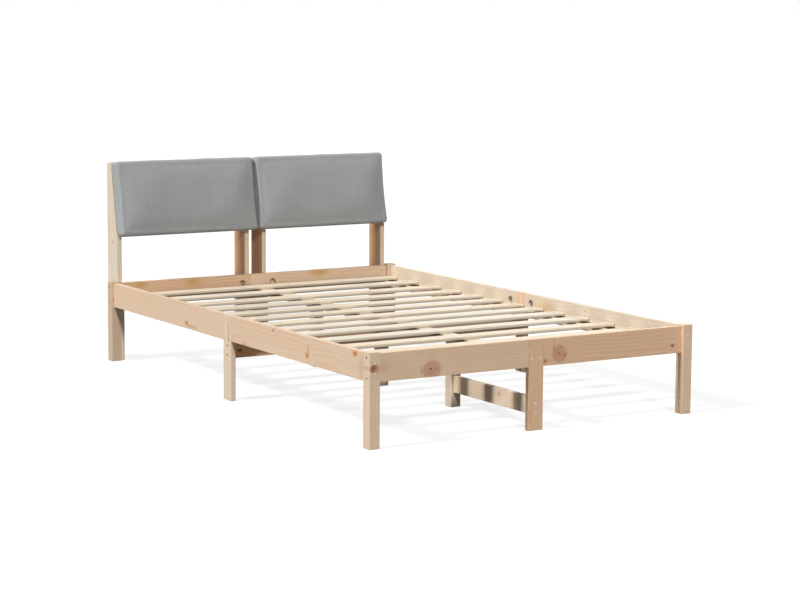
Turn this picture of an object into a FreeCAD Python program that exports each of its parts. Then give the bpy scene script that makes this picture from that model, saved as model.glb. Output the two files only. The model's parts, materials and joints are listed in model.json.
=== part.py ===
import FreeCAD, Part
import math
import os

# Wooden slatted bed frame with two padded headboard cushions, in millimetres.
# X runs across the bed (left is -X), Y from the foot (-Y) to the head (+Y), and Z up from the floor.
# The origin is on the floor, under the middle of the whole bed.

os.makedirs("parts", exist_ok=True)

# The mattress that the frame takes
mattress_width = 1200
mattress_length = 1900

# Timber
board_thickness = 18
batten_width = 57
leg_side = 38
rail_height = 90
edge_rounding = 1.2

# Legs and rails
leg_height = 303
rail_recess = 10
rail_drop = 5

# Slats and what carries them
slat_drop = 41
slat_thickness = 12
slat_rounding = 4
slat_end_gap = 5
slat_front_shares = (
    0.023, 0.113, 0.192, 0.272, 0.350, 0.418, 0.485,
    0.560, 0.632, 0.710, 0.786, 0.877, 0.962,
)
strap_width = 34
strap_thickness = 1.5
rest_gap = 0.3
cross_beam_drop = 23.7
stretcher_underside = 51

# Headboard
post_depth = 90
lean_angle = 10
shoulder_height = 468.5
shoulder_depth = 7
cushion_height = 288
cushion_thickness = 48
cushion_parting = 3
cushion_edge_radius = 12
cushion_corner_radius = 9
cushion_crown = 6
cushion_rim_crown = 0.6
cushion_draw_in = 1.5
backing_thickness = 12
backing_border = 4
cover_wrap = 25
cover_thickness = 1.5

# Screws: head across, shank across, length, socket across and socket depth
corner_screw_head = 8
corner_screw_shank = 5
corner_screw_length = 70
corner_screw_socket = 4
frame_screw_head = 8
frame_screw_shank = 4.5
frame_screw_length = 60
frame_screw_socket = 3.5
panel_screw_head = 7
panel_screw_shank = 4
panel_screw_length = 33
panel_screw_bite = 8
panel_screw_socket = 3
ledger_screw_head = 7
ledger_screw_shank = 4
ledger_screw_length = 42
ledger_screw_bite = 13
ledger_screw_socket = 3
socket_depth = 2
screw_clearance = 0.2
counterbore_clearance = 1

# Where the screws sit
screw_grid = 32
beam_screw_spread = 34
post_screw_spread = 50
stretcher_screw_drop = 5
leg_top_screw_spread = 19
panel_screw_shares = (0.2, 0.8)
ledger_screw_shares = (0.08, 0.5, 0.9)

# Bolts through the middle legs, the nuts and half-moon washers in their pockets, and the dowels
pocket_diameter = 28
pocket_depth = 15
pocket_setback = 38
bolt_rise = 9.5
bolt_diameter = 6
bolt_end = 3
bolt_clearance = 0.4
nut_width = 10
nut_height = 5
washer_height = 10
washer_thickness = 4.5
nut_clearance = 0.15
dowel_diameter = 8
dowel_length = 100
dowel_drop = 16
dowel_clearance = 0.15

# Staples that hold the slats on the straps
staple_width = 11
staple_leg = 8
staple_wire = 0.8

# Lines across the bed, from its middle
rail_inner_x = mattress_width / 2
rail_outer_x = rail_inner_x + board_thickness
rail_middle_x = rail_inner_x + board_thickness / 2
leg_outer_x = rail_outer_x + rail_recess
leg_inner_x = leg_outer_x - leg_side
batten_half = batten_width / 2
ledger_inner_x = rail_inner_x - batten_width
half_leg = leg_side / 2

# Lines along the bed
bed_length = rail_recess + board_thickness + mattress_length + board_thickness + post_depth
foot_leg_face = -bed_length / 2
foot_rail_face = foot_leg_face + rail_recess
foot_rail_back = foot_rail_face + board_thickness
head_rail_face = foot_rail_back + mattress_length
head_rail_back = head_rail_face + board_thickness
head_leg_back = head_rail_back + rail_recess
post_back = head_rail_back + post_depth
foot_leg_back = foot_leg_face + leg_side
head_leg_face = head_leg_back - leg_side
middle_y = (foot_rail_back + head_rail_face) / 2
foot_centre_leg_share = 0.25
head_centre_leg_share = 0.75
foot_quarter_y = foot_rail_back + foot_centre_leg_share * mattress_length
head_quarter_y = foot_rail_back + head_centre_leg_share * mattress_length

# Heights
rail_top = leg_height - rail_drop
rail_bottom = rail_top - rail_height
rail_centre_z = (rail_top + rail_bottom) / 2
slat_top = rail_top - slat_drop
slat_bottom = slat_top - slat_thickness
ledger_top = slat_bottom - strap_thickness
ledger_bottom = ledger_top - board_thickness
beam_top = slat_bottom - rest_gap
beam_bottom = beam_top - board_thickness
beam_centre_z = (beam_top + beam_bottom) / 2
cross_beam_top = beam_bottom - cross_beam_drop
cross_beam_underside = cross_beam_top - batten_width
cross_beam_centre_z = (cross_beam_underside + cross_beam_top) / 2
stretcher_top = stretcher_underside + batten_width
stretcher_screw_z = (stretcher_underside + stretcher_top) / 2 - stretcher_screw_drop
bolt_z = rail_centre_z + bolt_rise
dowel_z = bolt_z - dowel_drop

# The leaning line that the cushions lie against, from their lower back edge
lean_sine = math.sin(math.radians(lean_angle))
lean_cosine = math.cos(math.radians(lean_angle))
cushion_foot_y = head_rail_back + shoulder_depth * lean_cosine
cushion_foot_z = shoulder_height - shoulder_depth * lean_sine
post_top_y = cushion_foot_y + cushion_height * lean_sine
post_top_z = cushion_foot_z + cushion_height * lean_cosine

pieces = {}
cutters = {}
groups = {}


def point(x, y, z):
    return FreeCAD.Vector(x, y, z)


def bar(x_span, y_span, z_span, rounding=edge_rounding):
    """A straight piece of timber with lightly rounded edges."""
    low = point(min(x_span), min(y_span), min(z_span))
    high = point(max(x_span), max(y_span), max(z_span))
    size = high.sub(low)
    solid = Part.makeBox(size.x, size.y, size.z, low)
    return solid.makeFillet(rounding, solid.Edges)


def plain_box(x_span, y_span, z_span):
    low = point(min(x_span), min(y_span), min(z_span))
    high = point(max(x_span), max(y_span), max(z_span))
    size = high.sub(low)
    return Part.makeBox(size.x, size.y, size.z, low)


def aimed(solid, start, direction):
    """Turns a solid that is drawn along +Z so that it runs from start along direction."""
    turned = solid.copy()
    turned.Placement = FreeCAD.Placement(start, FreeCAD.Rotation(point(0, 0, 1), direction))
    return turned


def add_fastener(node, solid, cutter, names):
    """Keeps one fastener, and its hole for each piece that it passes through."""
    groups.setdefault(node, []).append(solid)
    for name in names:
        cutters.setdefault(name, []).append(cutter)


def countersunk(head, shank, length, margin):
    """A countersunk screw along +Z from its flat head, grown all round by a margin."""
    head_radius = head / 2 + margin
    shank_radius = shank / 2 + margin
    cone_height = head_radius - shank_radius
    cone = Part.makeCone(head_radius, shank_radius, cone_height)
    tip_length = shank
    shaft = Part.makeCylinder(shank_radius, length - tip_length + margin)
    tip_base = point(0, 0, length - tip_length + margin)
    tip = Part.makeCone(shank_radius, shank_radius / 4, tip_length, tip_base)
    return cone.fuse([shaft, tip])


def drive_screw(node, size, start, direction, names, sunk=0):
    """Drives a screw from start, its head sunk below the face by a counterbore."""
    head, shank, length, socket = size
    socket_hole = Part.makeCylinder(socket / 2, socket_depth)
    screw = countersunk(head, shank, length, 0).cut(socket_hole)
    hole = countersunk(head, shank, length, screw_clearance)
    way = point(*direction)
    seat = start.add(point(*[part * sunk for part in direction]))
    cutter = aimed(hole, seat, way)
    add_fastener(node, aimed(screw, seat, way), cutter, names)
    if sunk > 0:
        bore = Part.makeCylinder(head / 2 + counterbore_clearance, sunk)
        cutters[names[0]].append(aimed(bore, start, way))


corner_screw = (corner_screw_head, corner_screw_shank, corner_screw_length, corner_screw_socket)
frame_screw = (frame_screw_head, frame_screw_shank, frame_screw_length, frame_screw_socket)
panel_screw = (panel_screw_head, panel_screw_shank, panel_screw_length, panel_screw_socket)
ledger_screw = (ledger_screw_head, ledger_screw_shank, ledger_screw_length, ledger_screw_socket)

sides = (("left", -1), ("right", 1))
ends = (
    ("foot", foot_leg_face, foot_leg_back, foot_rail_face, foot_rail_back, 1),
    ("head", head_leg_back, head_leg_face, head_rail_back, head_rail_face, -1),
)


def make_legs_and_rails():
    """The outer frame: corner legs, rails in halves and the legs between the halves."""
    rail_span = (rail_bottom, rail_top)
    for side, sign in sides:
        leg_span = (sign * leg_inner_x, sign * leg_outer_x)
        rail_plane = (sign * rail_inner_x, sign * rail_outer_x)
        middle_span = (middle_y - batten_half, middle_y + batten_half)
        pieces[side + "_middle_leg"] = bar(rail_plane, middle_span, (0, rail_top))
        for end, leg_face, leg_back, rail_face, rail_back, way in ends:
            leg = bar(leg_span, (leg_face, leg_back), (0, leg_height))
            pieces[end + "_" + side + "_leg"] = leg
            half_span = (leg_back, middle_y - way * batten_half)
            pieces[side + "_rail_" + end + "_half"] = bar(rail_plane, half_span, rail_span)
            across = (sign * batten_half, sign * leg_inner_x)
            end_rail = bar(across, (rail_face, rail_back), rail_span)
            pieces[end + "_rail_" + side + "_half"] = end_rail
    for end, leg_face, leg_back, rail_face, rail_back, way in ends:
        centre_leg = bar((-batten_half, batten_half), (rail_face, rail_back), (0, rail_top))
        pieces[end + "_centre_leg"] = centre_leg


def make_corner_screws():
    """Two screws from each outer face of each corner leg, into the ends of the two rails."""
    for side, sign in sides:
        for end, leg_face, leg_back, rail_face, rail_back, way in ends:
            leg = end + "_" + side + "_leg"
            rail_middle_y = (rail_face + rail_back) / 2
            for step in (-1, 1):
                start = point(sign * leg_outer_x, rail_middle_y, rail_centre_z + step * screw_grid)
                names = [leg, end + "_rail_" + side + "_half"]
                drive_screw("corner_screws", corner_screw, start, (-sign, 0, 0), names)
                start = point(sign * rail_middle_x, leg_face, rail_centre_z + step * screw_grid / 2)
                names = [leg, side + "_rail_" + end + "_half"]
                drive_screw("corner_screws", corner_screw, start, (0, way, 0), names)


def hexagonal(width, height):
    """A hexagonal prism along +Z, by its width between two flats."""
    radius = width / math.sqrt(3)
    turns = [math.radians(60 * number) for number in range(7)]
    outline = Part.makePolygon([point(radius * math.cos(turn), radius * math.sin(turn), 0) for turn in turns])
    return Part.Face(outline).extrude(point(0, 0, height))


def make_joint(centre, along, inward, first, middle, second):
    """Joins two rail halves through the leg between them: a bolt, a nut in each rail and a dowel."""
    bolt_centre = point(centre[0], centre[1], bolt_z)
    pocket_reach = batten_half + pocket_setback
    seat_reach = pocket_reach - pocket_diameter / 2 + nut_clearance
    nut_reach = seat_reach + washer_thickness
    bolt_half = nut_reach + nut_height + bolt_end
    way = point(*along)

    def along_bolt(radius, half):
        shaft = Part.makeCylinder(radius, 2 * half, point(0, 0, -half))
        return aimed(shaft, bolt_centre, way)

    bolt = along_bolt(bolt_diameter / 2, bolt_half)
    thread = along_bolt(bolt_diameter / 2 + nut_clearance, pocket_reach)
    bore = along_bolt(bolt_diameter / 2 + bolt_clearance, bolt_half + bolt_clearance)
    add_fastener("joint_bolts", bolt, bore, [first, middle, second])
    inwards = point(*[-part for part in inward])
    for name, end in ((first, -1), (second, 1)):
        outwards = point(*[part * end for part in along])
        pocket_centre = bolt_centre.add(outwards * pocket_reach)
        mouth = pocket_centre.sub(inwards * (board_thickness / 2))
        pocket = aimed(Part.makeCylinder(pocket_diameter / 2, pocket_depth), mouth, inwards)
        washer_radius = pocket_diameter / 2 - nut_clearance
        round_start = pocket_centre.sub(inwards * (washer_height / 2))
        rounded = aimed(Part.makeCylinder(washer_radius, washer_height), round_start, inwards)
        slab = Part.makeCylinder(pocket_diameter, washer_thickness)
        slab = aimed(slab, bolt_centre.add(outwards * seat_reach), outwards)
        washer = rounded.common(slab).cut(thread)
        nut_start = bolt_centre.add(outwards * nut_reach)
        nut = aimed(hexagonal(nut_width, nut_height), nut_start, outwards).cut(thread)
        add_fastener("joint_nuts", washer, pocket, [name])
        groups["joint_nuts"].append(nut)
    make_dowel(point(centre[0], centre[1], dowel_z), along, [first, middle, second])


def make_dowel(centre, along, names):
    """A dowel through one piece and into the two beside it."""
    way = point(*along)
    half = dowel_length / 2
    dowel = Part.makeCylinder(dowel_diameter / 2, dowel_length, point(0, 0, -half))
    bore_half = half + dowel_clearance
    bore_radius = dowel_diameter / 2 + dowel_clearance
    bore = Part.makeCylinder(bore_radius, 2 * bore_half, point(0, 0, -bore_half))
    add_fastener("dowels", aimed(dowel, centre, way), aimed(bore, centre, way), names)


def make_rail_joints():
    for side, sign in sides:
        first = side + "_rail_foot_half"
        second = side + "_rail_head_half"
        centre = (sign * rail_middle_x, middle_y)
        make_joint(centre, (0, 1, 0), (-sign, 0, 0), first, side + "_middle_leg", second)
    for end, leg_face, leg_back, rail_face, rail_back, way in ends:
        first = end + "_rail_left_half"
        second = end + "_rail_right_half"
        centre = (0, (rail_face + rail_back) / 2)
        make_joint(centre, (1, 0, 0), (0, way, 0), first, end + "_centre_leg", second)


def make_centre_frame():
    """The flat centre beam on its legs, the cross beam and the low stretcher."""
    middle = (-batten_half, batten_half)
    beam_span = (beam_bottom, beam_top)
    pieces["centre_beam_foot_half"] = bar(middle, (foot_rail_back, middle_y), beam_span)
    pieces["centre_beam_head_half"] = bar(middle, (middle_y, head_rail_face), beam_span)
    leg_places = (("foot", foot_quarter_y), ("middle", middle_y), ("head", head_quarter_y))
    for place, leg_y in leg_places:
        leg_span = (leg_y - half_leg, leg_y + half_leg)
        pieces["centre_beam_" + place + "_leg"] = bar((-half_leg, half_leg), leg_span, (0, beam_bottom))
    plane = (-board_thickness / 2, board_thickness / 2)
    cross_plane = (middle_y + plane[0], middle_y + plane[1])
    for side, sign in sides:
        across = (sign * half_leg, sign * rail_inner_x)
        cross_span = (cross_beam_underside, cross_beam_top)
        pieces["cross_beam_" + side + "_half"] = bar(across, cross_plane, cross_span)
    stretcher_run = (foot_rail_back, foot_quarter_y - half_leg)
    stretcher_span = (stretcher_underside, stretcher_top)
    pieces["low_stretcher"] = bar(plane, stretcher_run, stretcher_span)


def make_frame_screws():
    """The screws of the centre frame, and those through the head rail into the posts."""
    for step in (-1, 1):
        beam_x = step * beam_screw_spread / 2
        grid = step * screw_grid / 2
        names = ["foot_centre_leg", "centre_beam_foot_half"]
        start = point(beam_x, foot_rail_face, beam_centre_z)
        drive_screw("frame_screws", frame_screw, start, (0, 1, 0), names)
        names = ["head_centre_leg", "centre_beam_head_half"]
        start = point(beam_x, head_rail_back, beam_centre_z)
        drive_screw("frame_screws", frame_screw, start, (0, -1, 0), names)
        start = point(0, foot_rail_face, stretcher_screw_z + grid)
        names = ["foot_centre_leg", "low_stretcher"]
        drive_screw("frame_screws", frame_screw, start, (0, 1, 0), names)
        start = point(0, foot_quarter_y + half_leg, stretcher_screw_z + grid)
        names = ["centre_beam_foot_leg", "low_stretcher"]
        drive_screw("frame_screws", frame_screw, start, (0, -1, 0), names)
        for side, sign in sides:
            start = point(sign * rail_outer_x, middle_y, cross_beam_centre_z + grid)
            names = [side + "_middle_leg", "cross_beam_" + side + "_half"]
            drive_screw("frame_screws", frame_screw, start, (-sign, 0, 0), names)
        dowel_centre = point(0, middle_y, cross_beam_centre_z + grid)
        names = ["cross_beam_left_half", "centre_beam_middle_leg", "cross_beam_right_half"]
        make_dowel(dowel_centre, (1, 0, 0), names)
        spread = step * leg_top_screw_spread / 2
        for place, leg_y in (("foot", foot_quarter_y), ("head", head_quarter_y)):
            start = point(spread, leg_y, beam_top)
            names = ["centre_beam_" + place + "_half", "centre_beam_" + place + "_leg"]
            drive_screw("frame_screws", frame_screw, start, (0, 0, -1), names)
        half = "head" if step > 0 else "foot"
        start = point(0, middle_y + spread, beam_top)
        names = ["centre_beam_" + half + "_half", "centre_beam_middle_leg"]
        drive_screw("frame_screws", frame_screw, start, (0, 0, -1), names)


def make_ledgers():
    """The flat ledgers inside the side rails, each half screwed to its rail from the inside."""
    for side, sign in sides:
        across = (sign * ledger_inner_x, sign * rail_inner_x)
        for end, leg_face, leg_back, rail_face, rail_back, way in ends:
            name = side + "_ledger_" + end + "_half"
            pieces[name] = bar(across, (leg_back, middle_y), (ledger_bottom, ledger_top))
            sunk = batten_width - (ledger_screw_length - ledger_screw_bite)
            for share in ledger_screw_shares:
                screw_y = leg_back + share * (middle_y - way * batten_half - leg_back)
                start = point(sign * ledger_inner_x, screw_y, (ledger_bottom + ledger_top) / 2)
                names = [name, side + "_rail_" + end + "_half"]
                drive_screw("ledger_screws", ledger_screw, start, (sign, 0, 0), names, sunk)


def make_slats():
    """The slats, the three straps under them and the staples that join them."""
    half_length = rail_inner_x - slat_end_gap
    ledger_middle = (ledger_inner_x + rail_inner_x) / 2
    centre_strap_x = -(batten_half + strap_width / 2)
    strap_places = (("left", -ledger_middle), ("centre", centre_strap_x), ("right", ledger_middle))
    fronts = [foot_rail_back + share * mattress_length for share in slat_front_shares]
    strap_run = (fronts[0], fronts[-1] + batten_width)
    for name, strap_x in strap_places:
        strap_span = (strap_x - strap_width / 2, strap_x + strap_width / 2)
        pieces[name + "_strap"] = plain_box(strap_span, strap_run, (ledger_top, slat_bottom))
    for number, front in enumerate(fronts, 1):
        name = "slat_%02d" % number
        slat_run = (front, front + batten_width)
        slat = plain_box((-half_length, half_length), slat_run, (slat_bottom, slat_top))
        long_edges = [edge for edge in slat.Edges if edge.Length > batten_width]
        pieces[name] = slat.makeFillet(slat_rounding, long_edges)
        middle = front + batten_width / 2
        for strap, strap_x in strap_places:
            staple = make_staple(strap_x, middle)
            add_fastener("staples", staple, staple, [name, strap + "_strap"])


def make_staple(centre_x, centre_y):
    """A wire staple let into the strap from below, with its two legs up in the slat."""
    crown_span = (centre_x - staple_width / 2, centre_x + staple_width / 2)
    wire_run = (centre_y - staple_wire / 2, centre_y + staple_wire / 2)
    crown = plain_box(crown_span, wire_run, (ledger_top, ledger_top + staple_wire))
    legs = []
    for edge_x, step in ((crown_span[0], 1), (crown_span[1], -1)):
        leg_span = (edge_x, edge_x + step * staple_wire)
        legs.append(plain_box(leg_span, wire_run, (ledger_top, ledger_top + staple_leg)))
    return crown.fuse(legs)


def make_post(inner_x, outer_x):
    """A headboard post: a ledge under the head rail, a shoulder under the cushion, a leaning front."""
    top_run = (post_back - post_top_y) / lean_cosine
    outline = [
        (head_rail_face, 0),
        (head_rail_face, rail_bottom),
        (head_rail_back, rail_bottom),
        (head_rail_back, shoulder_height),
        (cushion_foot_y, cushion_foot_z),
        (post_top_y, post_top_z),
        (post_back, post_top_z - top_run * lean_sine),
        (post_back, 0),
    ]
    corners = [point(inner_x, y, z) for y, z in outline]
    face = Part.Face(Part.makePolygon(corners + corners[:1]))
    return face.extrude(point(outer_x - inner_x, 0, 0))


def make_posts():
    places = (
        ("outer", leg_inner_x - board_thickness, leg_inner_x),
        ("inner", batten_half, batten_half + board_thickness),
    )
    for side, sign in sides:
        for place, inner_x, outer_x in places:
            name = side + "_" + place + "_post"
            pieces[name] = make_post(sign * inner_x, sign * outer_x)
            post_x = sign * (inner_x + outer_x) / 2
            for step in (-1, 1):
                screw_z = rail_centre_z + step * post_screw_spread / 2
                start = point(post_x, head_rail_face, screw_z)
                names = ["head_rail_" + side + "_half", name]
                drive_screw("frame_screws", frame_screw, start, (0, 1, 0), names)
            for share in panel_screw_shares:
                names = [name, side + "_backing_board", side + "_cushion"]
                drive_panel_screw(names, post_x, share)


def drive_panel_screw(names, post_x, share):
    """A screw from a counterbore in the back edge of a post into the cushion's backing board."""
    run = share * cushion_height
    screw_z = cushion_foot_z + run * lean_cosine
    front_y = cushion_foot_y + run * lean_sine - cover_thickness
    head_y = front_y - panel_screw_bite + panel_screw_length
    sunk = post_back - head_y
    start = point(post_x, post_back, screw_z)
    drive_screw("panel_screws", panel_screw, start, (0, -1, 0), names, sunk)


def leaned(solid):
    """Leans a solid that was drawn upright at the origin back against the posts."""
    turn = FreeCAD.Rotation(point(1, 0, 0), -lean_angle)
    solid.Placement = FreeCAD.Placement(point(0, cushion_foot_y, cushion_foot_z), turn)
    return solid


def cushion_section(x, thickness, crown, low, high):
    """One upright section of a cushion: flat back, rounded front edges and a crowned front."""
    back = -rest_gap
    front = back - thickness
    radius = cushion_edge_radius
    inset = radius * (1 - math.sqrt(0.5))
    turn_back = front + radius
    low_turn = low + radius
    high_turn = high - radius
    low_front = point(x, front, low_turn)
    high_front = point(x, front, high_turn)
    lower = Part.Arc(point(x, turn_back, low), point(x, front + inset, low + inset), low_front)
    bow = Part.Arc(low_front, point(x, front - crown, (low + high) / 2), high_front)
    upper = Part.Arc(high_front, point(x, front + inset, high - inset), point(x, turn_back, high))
    edges = [
        Part.LineSegment(point(x, back, low), point(x, turn_back, low)).toShape(),
        lower.toShape(),
        bow.toShape(),
        upper.toShape(),
        Part.LineSegment(point(x, turn_back, high), point(x, back, high)).toShape(),
        Part.LineSegment(point(x, back, high), point(x, back, low)).toShape(),
    ]
    return Part.Wire(edges)


def cushion_stations(width):
    """Places along a cushion with how far its end has turned in there, from 1 to 0."""
    turns = (0, 30, 60, 90)
    start = [(1 - math.cos(math.radians(turn)), 1 - math.sin(math.radians(turn))) for turn in turns]
    low_end = [(step * cushion_edge_radius, turned) for step, turned in start]
    inner_shares = (0.1, 0.2, 0.35, 0.5, 0.65, 0.8, 0.9)
    inner = [(share * width, 0) for share in inner_shares]
    high_end = [(width - place, turned) for place, turned in reversed(low_end)]
    return low_end + inner + high_end


def inset_box(sign, inner_x, inset, y_span):
    """A box inside a cushion's outline, inset by the same distance on all four sides."""
    x_span = (sign * (inner_x + inset), sign * (leg_inner_x - inset))
    return plain_box(x_span, y_span, (inset, cushion_height - inset))


def make_cushions():
    """The two cushions, each with a backing board in its back and the cover turned over its rim."""
    inner_x = cushion_parting / 2
    width = leg_inner_x - inner_x
    board_back = -rest_gap - cover_thickness
    board_front = board_back - backing_thickness
    for side, sign in sides:
        sections = []
        for place, turned in cushion_stations(width):
            across = 2 * place / width - 1
            swell = 1 - across ** 4
            crown = cushion_rim_crown + cushion_crown * swell
            drawn = cushion_draw_in * (1 - across ** 2) + cushion_corner_radius * turned
            thickness = cushion_thickness - cushion_edge_radius * turned
            low = rest_gap + drawn
            high = cushion_height - drawn
            x = sign * (inner_x + place)
            sections.append(cushion_section(x, thickness, crown, low, high))
        cushion = Part.makeLoft(sections, True, True)
        pocket_y = (board_back, board_front - rest_gap)
        pocket = inset_box(sign, inner_x, backing_border - rest_gap, pocket_y)
        window = inset_box(sign, inner_x, cover_wrap, (0, board_front))
        pieces[side + "_cushion"] = leaned(cushion.cut([pocket, window]))
        board = inset_box(sign, inner_x, backing_border, (board_back, board_front))
        pieces[side + "_backing_board"] = leaned(board)


def write_parts():
    """Cuts the holes and writes one file for each piece or group of fasteners."""
    for name, solid in pieces.items():
        if name in cutters:
            solid = solid.cut(cutters[name])
        if len(solid.Solids) == 1:
            solid = solid.Solids[0]
        solid.exportStep("parts/" + name + ".step")
    for name, solids in groups.items():
        Part.makeCompound(solids).exportStep("parts/" + name + ".step")
    print(len(pieces) + len(groups), "nodes")


make_legs_and_rails()
make_corner_screws()
make_rail_joints()
make_centre_frame()
make_frame_screws()
make_ledgers()
make_slats()
make_posts()
make_cushions()
write_parts()
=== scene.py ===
import json
import math
import random

import bmesh
import bpy
from bpy.props import FloatProperty, FloatVectorProperty, IntProperty, PointerProperty
from mathutils import Euler, Matrix, Vector, noise


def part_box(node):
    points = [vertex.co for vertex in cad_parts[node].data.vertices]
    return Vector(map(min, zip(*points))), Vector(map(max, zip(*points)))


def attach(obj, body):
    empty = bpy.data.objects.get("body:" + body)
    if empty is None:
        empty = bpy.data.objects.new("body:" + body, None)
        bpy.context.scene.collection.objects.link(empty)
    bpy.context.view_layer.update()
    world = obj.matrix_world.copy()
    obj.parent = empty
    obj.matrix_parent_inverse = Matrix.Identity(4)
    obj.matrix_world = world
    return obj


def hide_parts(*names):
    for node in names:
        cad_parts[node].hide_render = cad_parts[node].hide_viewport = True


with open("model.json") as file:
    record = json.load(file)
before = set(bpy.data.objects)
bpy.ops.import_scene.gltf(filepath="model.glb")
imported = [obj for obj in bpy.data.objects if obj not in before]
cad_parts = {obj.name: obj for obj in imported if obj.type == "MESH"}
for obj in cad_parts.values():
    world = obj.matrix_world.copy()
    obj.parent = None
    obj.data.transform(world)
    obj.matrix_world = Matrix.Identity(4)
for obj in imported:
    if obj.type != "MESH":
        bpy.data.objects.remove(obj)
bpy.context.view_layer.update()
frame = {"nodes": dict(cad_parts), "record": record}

bl_info = {
    "name": "Slatted bed frame with headboard cushions",
    "version": (1, 0, 0),
    "blender": (4, 5, 0),
    "location": "View3D > Sidebar > Bed frame",
    "description": "Finishes the timber, slats and fittings of a bed frame and models its cushions",
    "category": "Object",
}

SIDES = (("left", -1), ("right", 1))

# Knots and coloured patches that show in the boards: share along the board, share across it,
# radius in metres, stretch along the board, and kind
KNOTS = {
    "foot_rail_left_half": (
        (0.342, 0.24, 0.0240, 1.1, "blush"),
        (0.344, 0.26, 0.0250, 1.15, "ringed"),
        (0.338, 0.29, 0.0140, 1.1, "ring"),
        (0.375, 0.28, 0.0170, 0.22, "arc"),
        (0.276, 0.23, 0.0190, 0.18, "arc"),
        (0.02, 0.5, 0.02, 2.0, "patch"),
    ),
    "foot_rail_right_half": (
        (0.116, 0.38, 0.0230, 1.1, "blush"),
        (0.113, 0.40, 0.0240, 1.0, "ringed"),
        (0.107, 0.43, 0.0120, 1.0, "ring"),
        (0.148, 0.34, 0.0180, 0.28, "bright"),
        (0.072, 0.60, 0.0200, 0.30, "arc"),
        (0.006, 0.17, 0.0090, 1.2, "arc"),
        (0.013, 0.17, 0.0070, 1.2, "red"),
        (0.933, 0.30, 0.0070, 1.2, "dark"),
    ),
    "left_rail_foot_half": (
        (0.410, 0.32, 0.0150, 0.9, "bright"),
        (0.402, 0.55, 0.0170, 0.35, "arc"),
        (0.074, 0.86, 0.0120, 1.7, "bright"),
        (0.664, 0.88, 0.0045, 1.6, "dark"),
        (0.892, 0.04, 0.0060, 1.5, "red"),
    ),
    "left_rail_head_half": (
        (0.316, 0.22, 0.0110, 1.6, "bright"),
        (0.27, 0.13, 0.0070, 7.0, "arc"),
        (0.70, 0.62, 0.004, 1.6, "pale"),
    ),
    "left_middle_leg": ((0.83, 0.36, 0.0045, 10.0, "bright"), (0.715, 0.32, 0.0060, 1.3, "red")),
    "foot_left_leg": ((0.834, 0.47, 0.0165, 0.8, "scarlet"), (0.79, 0.75, 0.012, 2.0, "patch")),
    "foot_right_leg": ((0.02, 0.62, 0.0040, 1.0, "dark"),),
    "foot_centre_leg": ((0.955, 0.06, 0.012, 1.6, "patch"), (0.16, 0.12, 0.010, 3.5, "patch")),
    "head_rail_left_half": ((0.155, 0.86, 0.018, 1.7, "resin"), (0.552, 0.84, 0.021, 1.8, "resin")),
    "head_rail_right_half": ((0.44, 0.90, 0.018, 2.6, "resin"), (0.96, 0.80, 0.004, 1.0, "red")),
    "right_rail_foot_half": ((0.588, 0.76, 0.0035, 1.1, "dark"), (0.86, 0.55, 0.03, 2.5, "patch")),
    "right_rail_head_half": ((0.20, 0.40, 0.007, 1.3, "red"), (0.965, 0.70, 0.003, 1.1, "dark")),
    "cross_beam_left_half": ((0.045, 0.45, 0.0080, 1.4, "dark"), (0.6, 0.4, 0.006, 1.2, "red")),
    "low_stretcher": ((0.40, 0.66, 0.0085, 0.8, "bright"),),
    # On the inner posts and the right outer post this large dark red patch covers the side faces
    # and stays off the front edges: painted shade where the cushions shade those sides.
    "left_inner_post": ((0.53, 0.64, 0.0420, 5.5, "heartwood"),),
    "right_inner_post": ((0.53, 0.64, 0.0420, 5.5, "heartwood"),),
    "right_outer_post": ((0.53, 0.64, 0.0420, 5.5, "heartwood"),),
}

# How pale a board is beside the others: above 0 for cream, below 0 for reddish; a few entries are
# painted light, as marked
PALENESS_AND_PAINTED_LIGHT = {
    "left_outer_post": 1.1,
    "right_outer_post": 0.6,
    "left_inner_post": 0.6,
    "right_inner_post": 0.6,
    "left_middle_leg": 0.6,
    "foot_left_leg": 0.35,
    "foot_right_leg": 0.1,
    "foot_rail_left_half": -0.1,
    "foot_rail_right_half": -0.65,
    "foot_centre_leg": -0.55,
    "head_rail_left_half": -0.5,
    "head_rail_right_half": 0.1,
    "left_rail_foot_half": 0.0,
    "left_rail_head_half": 0.1,
    "head_left_leg": 0.3,
    "right_rail_foot_half": 1.0,
    "right_rail_head_half": 1.1,
    "centre_beam_foot_leg": 0.8,
    "centre_beam_foot_half": 1.0,
    "centre_beam_head_half": 1.0,
    "low_stretcher": 0.6,
    # The left cross beam half's strong red is a painted warm tint of the light in its shade.
    "cross_beam_left_half": -1.2,
}

# Brightness of a board beside the others; a few entries are painted light or painted shade, as
# marked
BRIGHTNESS_AND_PAINTED_LIGHT = {
    "head_left_leg": 0.81,
    "head_rail_left_half": 0.93,
    "head_rail_right_half": 0.96,
    "right_rail_foot_half": 0.97,
    "right_rail_head_half": 0.97,
    # The centre beam's foot leg is darkened as painted shade for its shaded front, and its middle
    # leg brightened as painted light where it stands in shade.
    "centre_beam_foot_leg": 0.92,
    "centre_beam_middle_leg": 1.1,
    # The left cross beam half is made brighter as painted light, lifting it where it stands in
    # shade.
    "cross_beam_left_half": 1.12,
}

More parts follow.
